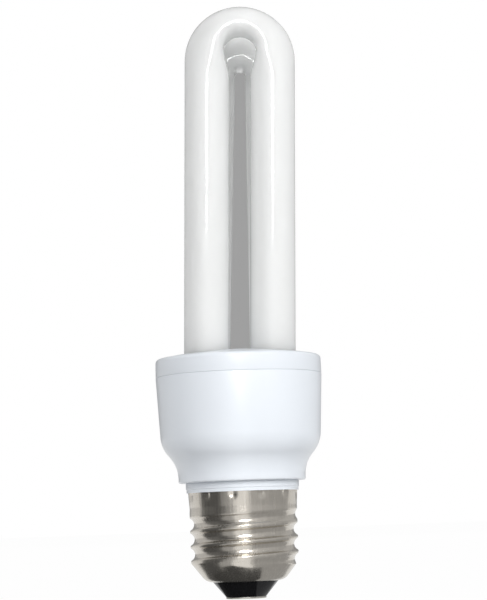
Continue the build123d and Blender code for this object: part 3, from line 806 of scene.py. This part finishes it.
def upright_card(name, brightness, start, end):
    """Tall card from one azimuth to another, in degrees to the right of the camera."""
    middle, half = radians((start + end) / 2), radians((end - start) / 2)
    away = CARD_DISTANCE * cos(half)
    place = (away * sin(middle), -away * cos(middle), CARD_HEIGHT / 2)
    bpy.ops.object.select_all(action="DESELECT")
    bpy.ops.mesh.primitive_plane_add(size=1, location=place, rotation=(pi / 2, 0, middle))
    made = bpy.context.object
    made.scale = (2 * CARD_DISTANCE * sin(half), CARD_HEIGHT, 1)
    return glow_in_gloss(made, name, brightness)


def flat_card(name, brightness, start, end, reach=CARD_DISTANCE, lift=CARD_LIFT):
    """Diamond on the floor from one azimuth to another, with a corner under the lamp."""
    middle, half = radians((start + end) / 2), radians((end - start) / 2)
    bpy.ops.object.select_all(action="DESELECT")
    bpy.ops.mesh.primitive_circle_add(vertices=4, radius=reach, fill_type="NGON")
    made = bpy.context.object
    made.scale = (tan(half), 1, 1)
    bpy.ops.object.transform_apply(location=False, rotation=False, scale=True)
    made.location = (reach * sin(middle), -reach * cos(middle), lift)
    made.rotation_euler = (0, 0, middle)
    return glow_in_gloss(made, name, brightness)


# %% Cards
cards = [
    upright_card("dark_card_far_left", 0.16, -100, -62),
    upright_card("dark_card_left", 0.1, -62, -38),
    upright_card("dim_card_left", 0.35, -38, -18),
    upright_card("bright_card_front", 0.8, -18, 12),
    upright_card("grey_card_front_right", 0.55, 12, 50),
    upright_card("grey_card_right", 0.5, 50, 110),
    upright_card("grey_card_back_right", 0.6, 110, 150),
    upright_card("grey_card_behind", 0.35, 150, 210),
    upright_card("grey_card_back_left", 0.7, 210, 260),
    flat_card("dark_floor_left", 0.1, -100, -45),
    flat_card("dim_floor_left", 0.45, -45, -20),
    flat_card("bright_floor_front", 1.1, -20, 14),
    flat_card("grey_floor_right", 0.42, 12, 110),
    # Painted shadow: this small dark card at the lamp's foot stands for the lamp's shadow on the floor, in
    # gloss.
    flat_card("painted_shadow_near", 0.06, -70, 30, reach=SHADOW_CARD_REACH, lift=2 * CARD_LIFT),
]
print(len(cards), "cards stand", CARD_DISTANCE, "m away or lie on the floor")

# %% Painted shade behind the gap
# The panel's grey is painted shade: seen through the gap between the legs, it stands for the shade there.
PANEL_WIDTH, PANEL_HEIGHT, PANEL_DISTANCE, PANEL_ASIDE = 0.08, 0.63, 2.0, 0.010
panel_middle = (PANEL_ASIDE, PANEL_DISTANCE, PANEL_HEIGHT / 2)
bpy.ops.object.select_all(action="DESELECT")
bpy.ops.mesh.primitive_plane_add(size=1, location=panel_middle, rotation=(pi / 2, 0, 0))
gap_shade_panel = bpy.context.object
gap_shade_panel.name = "painted_gap_shade_panel"
gap_shade_panel.scale = (PANEL_WIDTH, PANEL_HEIGHT, 1)
bpy.ops.object.transform_apply(location=True, rotation=True, scale=True)
paint(gap_shade_panel, grained("painted_gap_shade", (0.56, 0.56, 0.56), 0.9, grain=20, spread=0.02))
gap_shade_panel.visible_glossy = gap_shade_panel.visible_shadow = False
print("gap_shade_panel", PANEL_WIDTH, "m wide and", PANEL_DISTANCE, "m behind the lamp")

# %% [markdown]
# ## Light
# The light is plain and soft. The world gives a little light from all round. A wide fill in front and
# another behind brighten the glass and the body, and are kept out of gloss so that they draw no bright patch.
# A wide lamp on the right gives the body its form. A narrow softbox above the camera shows in gloss alone. It
# draws the bright streak down each leg and round the bend, and its lower end sets where the streak ends.

# %% World
WORLD_LIGHT = 0.42
world = bpy.data.worlds.new("studio")
bpy.context.scene.world = world
world.use_nodes = True
nodes, links = world.node_tree.nodes, world.node_tree.links
nodes.clear()
rays = nodes.new("ShaderNodeLightPath")
plain_light, white = nodes.new("ShaderNodeBackground"), nodes.new("ShaderNodeBackground")
plain_light.inputs["Strength"].default_value = WORLD_LIGHT
for background in (plain_light, white):
    background.inputs["Color"].default_value = (1, 1, 1, 1)
camera_or_gloss, seen = nodes.new("ShaderNodeMath"), nodes.new("ShaderNodeMath")
camera_or_gloss.operation = seen.operation = "MAXIMUM"
mixed, out = nodes.new("ShaderNodeMixShader"), nodes.new("ShaderNodeOutputWorld")
links.new(rays.outputs["Is Camera Ray"], camera_or_gloss.inputs[0])
links.new(rays.outputs["Is Glossy Ray"], camera_or_gloss.inputs[1])
links.new(camera_or_gloss.outputs[0], seen.inputs[0])
links.new(rays.outputs["Is Transmission Ray"], seen.inputs[1])
links.new(seen.outputs[0], mixed.inputs[0])
links.new(plain_light.outputs[0], mixed.inputs[1])
links.new(white.outputs[0], mixed.inputs[2])
links.new(mixed.outputs[0], out.inputs["Surface"])
print("world light", WORLD_LIGHT, "and white where it is seen")

# %% Lamps
STREAK_AIM, BODY_MIDDLE = (0, 0, 0.2), (0, 0, 0.07)


def softbox(name, place, aim, width, height, watts, shape="RECTANGLE"):
    """Area lamp at a place, turned to a point."""
    light = bpy.data.lights.new(name, "AREA")
    light.shape, light.size, light.size_y, light.energy = shape, width, height, watts
    made = bpy.data.objects.new(name, light)
    bpy.context.collection.objects.link(made)
    made.location = place
    made.rotation_euler = (Vector(aim) - Vector(place)).to_track_quat("-Z", "Y").to_euler()
    return made


streak_box = softbox(
    "streak_softbox", (0, -1.2, 0.62), STREAK_AIM, width=0.3, height=0.75, watts=8, shape="ELLIPSE"
)
streak_box.visible_diffuse = False
front_fill = softbox("front_fill", (0.06, -1.6, 0.8), BODY_MIDDLE, width=1.0, height=1.0, watts=15.5)
front_fill.visible_glossy = False
back_fill = softbox("back_fill", (0.2, 1.5, 0.9), BODY_MIDDLE, width=1.0, height=1.0, watts=5)
back_fill.visible_glossy = False
side_box = softbox("side_softbox", (1.1, -1.2, 0.7), BODY_MIDDLE, width=0.9, height=0.9, watts=9)
for box in (streak_box, front_fill, back_fill, side_box):
    print(box.name, box.data.energy, "W")

# %% [markdown]
# ## Camera
# The curves of the rims show that the photograph was taken from about half a metre, with the lens at the
# height of the screw cap and the camera tipped slightly to one side. The lamp rises far above the lens, so
# the camera looks up a little, and a small shift of the lens does the rest.

# %% Camera
CAMERA_DISTANCE, CAMERA_HEIGHT = 0.5, 0.018
PITCH_UP, YAW, ROLL = radians(4.83), radians(-0.165), radians(2.05)
LENS, SENSOR, SHIFT = 122.8, 36.0, 0.085
camera_data = bpy.data.cameras.new("camera")
camera = bpy.data.objects.new("camera", camera_data)
bpy.context.collection.objects.link(camera)
bpy.context.scene.camera = camera
camera_data.lens, camera_data.sensor_width = LENS, SENSOR
camera_data.shift_y = SHIFT
camera.location = (0, -CAMERA_DISTANCE, CAMERA_HEIGHT)
raised = Matrix.Rotation(pi / 2 + PITCH_UP, 4, "X")
turned = Matrix.Rotation(YAW, 4, "Z") @ raised @ Matrix.Rotation(-ROLL, 4, "Z")
camera.rotation_euler = turned.to_euler()
print("camera", CAMERA_DISTANCE, "m away, lens", LENS, "mm")

# %% Colour
bpy.context.scene.view_settings.view_transform = "Standard"
